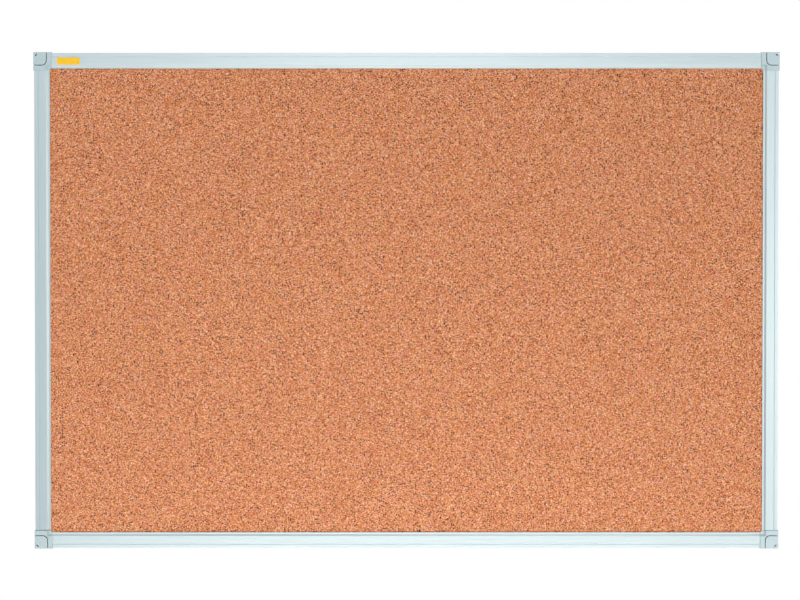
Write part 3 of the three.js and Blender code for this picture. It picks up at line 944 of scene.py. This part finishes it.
def camera_share(tree):
    """1 for rays that see the background straight, in a reflection or through glass."""
    path = add(tree, "ShaderNodeLightPath")
    seen = add(tree, "ShaderNodeMath", {
        0: path.outputs["Is Camera Ray"], 1: path.outputs["Is Glossy Ray"]}, operation="MAXIMUM")
    return add(tree, "ShaderNodeMath", {
        0: seen.outputs[0], 1: path.outputs["Is Transmission Ray"]}, operation="MAXIMUM").outputs[0]


def studio_world():
    """White where it is seen or mirrored, and a weaker fill for the light that it gives."""
    world = bpy.data.worlds.new("studio")
    world.use_nodes = True
    bpy.context.scene.world = world
    tree = world.node_tree
    tree.nodes.clear()
    white = add(tree, "ShaderNodeBackground", {"Color": (1, 1, 1, 1), "Strength": 1.0})
    fill = add(tree, "ShaderNodeBackground", {"Color": (1, 1, 1, 1), "Strength": WORLD_FILL})
    mixed = add(tree, "ShaderNodeMixShader", {
        0: camera_share(tree), 1: fill.outputs[0], 2: white.outputs[0]})
    add(tree, "ShaderNodeOutputWorld", {"Surface": mixed.outputs[0]})


def studio_floor():
    """The floor under a board that hangs at eye height. It shows white but for shadows, and
    fades to the white of the surroundings before its edges."""
    put_down()
    bpy.ops.mesh.primitive_plane_add(size=FLOOR_SIZE, location=(0, 0, FLOOR_HEIGHT))
    floor = bpy.context.object
    floor.name = "floor"
    material = bpy.data.materials.new("white_floor")
    material.use_nodes = True
    tree = material.node_tree
    tree.nodes.clear()
    paint = add(tree, "ShaderNodeBsdfDiffuse", {"Color": linear("#e6e6e6")})
    glow = add(tree, "ShaderNodeEmission", {"Color": (1, 1, 1, 1), "Strength": FLOOR_GLOW})
    both = add(tree, "ShaderNodeAddShader", {0: paint.outputs[0], 1: glow.outputs[0]})
    white = add(tree, "ShaderNodeEmission", {"Color": (1, 1, 1, 1), "Strength": 1.0})
    place = add(tree, "ShaderNodeTexCoord").outputs["Object"]
    from_middle = add(tree, "ShaderNodeVectorMath", {0: place}, operation="LENGTH")
    far = add(tree, "ShaderNodeMapRange", {
        "Value": from_middle.outputs["Value"], "From Min": FADE_START, "From Max": FADE_END})
    faded = add(tree, "ShaderNodeMixShader", {
        0: far.outputs["Result"], 1: both.outputs[0], 2: white.outputs[0]})
    mixed = add(tree, "ShaderNodeMixShader", {
        0: camera_share(tree), 1: paint.outputs[0], 2: faded.outputs[0]})
    add(tree, "ShaderNodeOutputMaterial", {"Surface": mixed.outputs[0]})
    floor.data.materials.append(material)


def lamp(name, place, aim, width, height, power, spread=180):
    """A soft lamp, a shade warmer than the white surroundings. A narrow spread makes a pool."""
    light = bpy.data.lights.new(name, "AREA")
    light.shape = "RECTANGLE"
    light.size, light.size_y = width, height
    light.energy = power
    light.spread = math.radians(spread)
    light.color = LAMP_COLOUR
    holder = bpy.data.objects.new(name, light)
    holder.location = place
    holder.visible_camera = False
    holder.rotation_euler = (Vector(aim) - Vector(place)).to_track_quat("-Z", "Y").to_euler()
    bpy.context.scene.collection.objects.link(holder)


def studio_lamps():
    """The board is lit softly from below and from the right, with a little from above, and its
    back has two lamps of its own that miss the floor in front. Each lamp has its place, the
    point that it is aimed at, its width and its height in metres, its power in watts and, for
    a pool, its spread in degrees."""
    lamp("low_left", (-0.9, -0.9, -1.3), (0, 0, 0), 0.8, 0.5, 2.8)
    lamp("low_middle", (0.1, -0.8, -1.1), (0, 0, -0.1), 1.2, 0.4, 4.4)
    lamp("low_pool", (0.05, -1.6, -1.2), (0.05, 0, -0.25), 1.5, 0.5, 1.5, spread=80)
    lamp("left_wash", (-1.5, -0.9, 1.4), (-0.25, 0, 0.05), 0.8, 0.6, 1.6, spread=90)
    lamp("high_left", (-1, -1.3, 1.3), (0, 0, 0), 0.8, 0.6, 2.6)
    lamp("front_high", (0, -3, 1.2), (0, 0, 0), 0.9, 0.6, 6.8)
    lamp("right_front", (1.5, -2.9, 0.1), (0, 0, 0), 0.8, 0.8, 3.2)
    lamp("right_far", (2, -2.9, -0.4), (0.2, 0, 0), 0.6, 1, 11.4)
    lamp("right_side", (2.3, -0.9, 0), (0, 0, 0), 0.8, 1.2, 1.8)
    lamp("right_edge", (2.3, -0.3, 0), (-0.43, 0, 0), 0.3, 0.9, 0.3, spread=60)
    lamp("top_edge", (0.6, -0.25, 2.2), (0.3, 0, -0.28), 2, 0.3, 1, spread=80)
    lamp("back_left", (-1.5, 1.8, -1), (0, 0, 0), 2.2, 2.2, 2.6, spread=50)
    lamp("back_right", (1.2, 2.2, -1), (0, 0, 0), 2.2, 2.2, 2.2, spread=50)


# Assembly

def fit_panel():
    """The panel's three sheets, and the label on the top rail."""
    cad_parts["core_board"].material_slots[0].material = softboard()
    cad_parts["backing_sheet"].material_slots[0].material = backing_paper()
    fit(cork_face(), "board", "cork_sheet", agglomerated_cork())
    fit(blank_label(), "board", "label", yellow_vinyl())


def fit_rails():
    """The rails go round clockwise from the top, and so do the two gaps at each one's ends."""
    level = anodised_aluminium("anodised_aluminium_level", X)
    upright = anodised_aluminium("anodised_aluminium_upright", Z)
    for turn, (name, span, reach, gaps, metal) in enumerate((
        ("top", BOARD_WIDTH, BOARD_HEIGHT, (0.06, 0.18), level),
        ("right", BOARD_HEIGHT, BOARD_WIDTH, (0.12, 0.4), upright),
        ("bottom", BOARD_WIDTH, BOARD_HEIGHT, (0.25, 0.06), level),
        ("left", BOARD_HEIGHT, BOARD_WIDTH, (0.75, 0.05), upright),
    )):
        rail = rail_form(f"{name}_extrusion", span, gaps)
        rail.location = Vector((0, -RAIL_STEP, reach / 2 - RAIL_SIDE_STEP)) * MM
        settle(rail)
        rail.rotation_euler = (0, turn * QUARTER_TURN, 0)
        settle(rail)
        fit(rail, "board", f"rail_{name}", metal)


def fit_corners():
    """One block and one cover, copied to the four corners."""
    plastic = lacquered_abs()
    block_form, cover_form = corner_block(), corner_cover()
    for turn, (name, side, height) in enumerate((
        ("top_right", 1, 1), ("bottom_right", 1, -1), ("bottom_left", -1, -1), ("top_left", -1, 1),
    )):
        place = Vector((side * BOARD_WIDTH / 2, 0, height * BOARD_HEIGHT / 2)) * MM
        angle = turn * QUARTER_TURN
        block = copy_turned(block_form, f"{name}_block", angle, place)
        fit(block, "board", f"corner_{name}", plastic)
        cover = copy_turned(cover_form, f"{name}_cap", angle, place)
        fit(cover, f"{name}_cover", f"cover_{name}", plastic)
    for form in (block_form, cover_form):
        bpy.data.meshes.remove(form.data)


def fit_screws():
    """One screw, copied to its eight holes and turned by chance, as a driver leaves it."""
    steel = zinc_plated_steel()
    hand = random.Random(SCREW_SEED)
    screw_blank = corner_screw()
    for rail_name, ends in (
        ("top", ("left", "right")), ("right", ("top", "bottom")),
        ("bottom", ("right", "left")), ("left", ("bottom", "top")),
    ):
        for end_name in ends:
            node = f"screw_{rail_name}_rail_{end_name}"
            low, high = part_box(node)
            middle = (low + high) / 2
            screw = copy_turned(
                screw_blank, f"{rail_name}_{end_name}_corner_screw",
                hand.uniform(0, QUARTER_TURN), (middle.x, high.y, middle.z),
            )
            fit(screw, "board", node, steel)
    bpy.data.meshes.remove(screw_blank.data)


studio_world()
studio_floor()
studio_lamps()
fit_panel()
fit_rails()
fit_corners()
fit_screws()
put_down()

scene = bpy.context.scene
scene.view_settings.view_transform = "Standard"
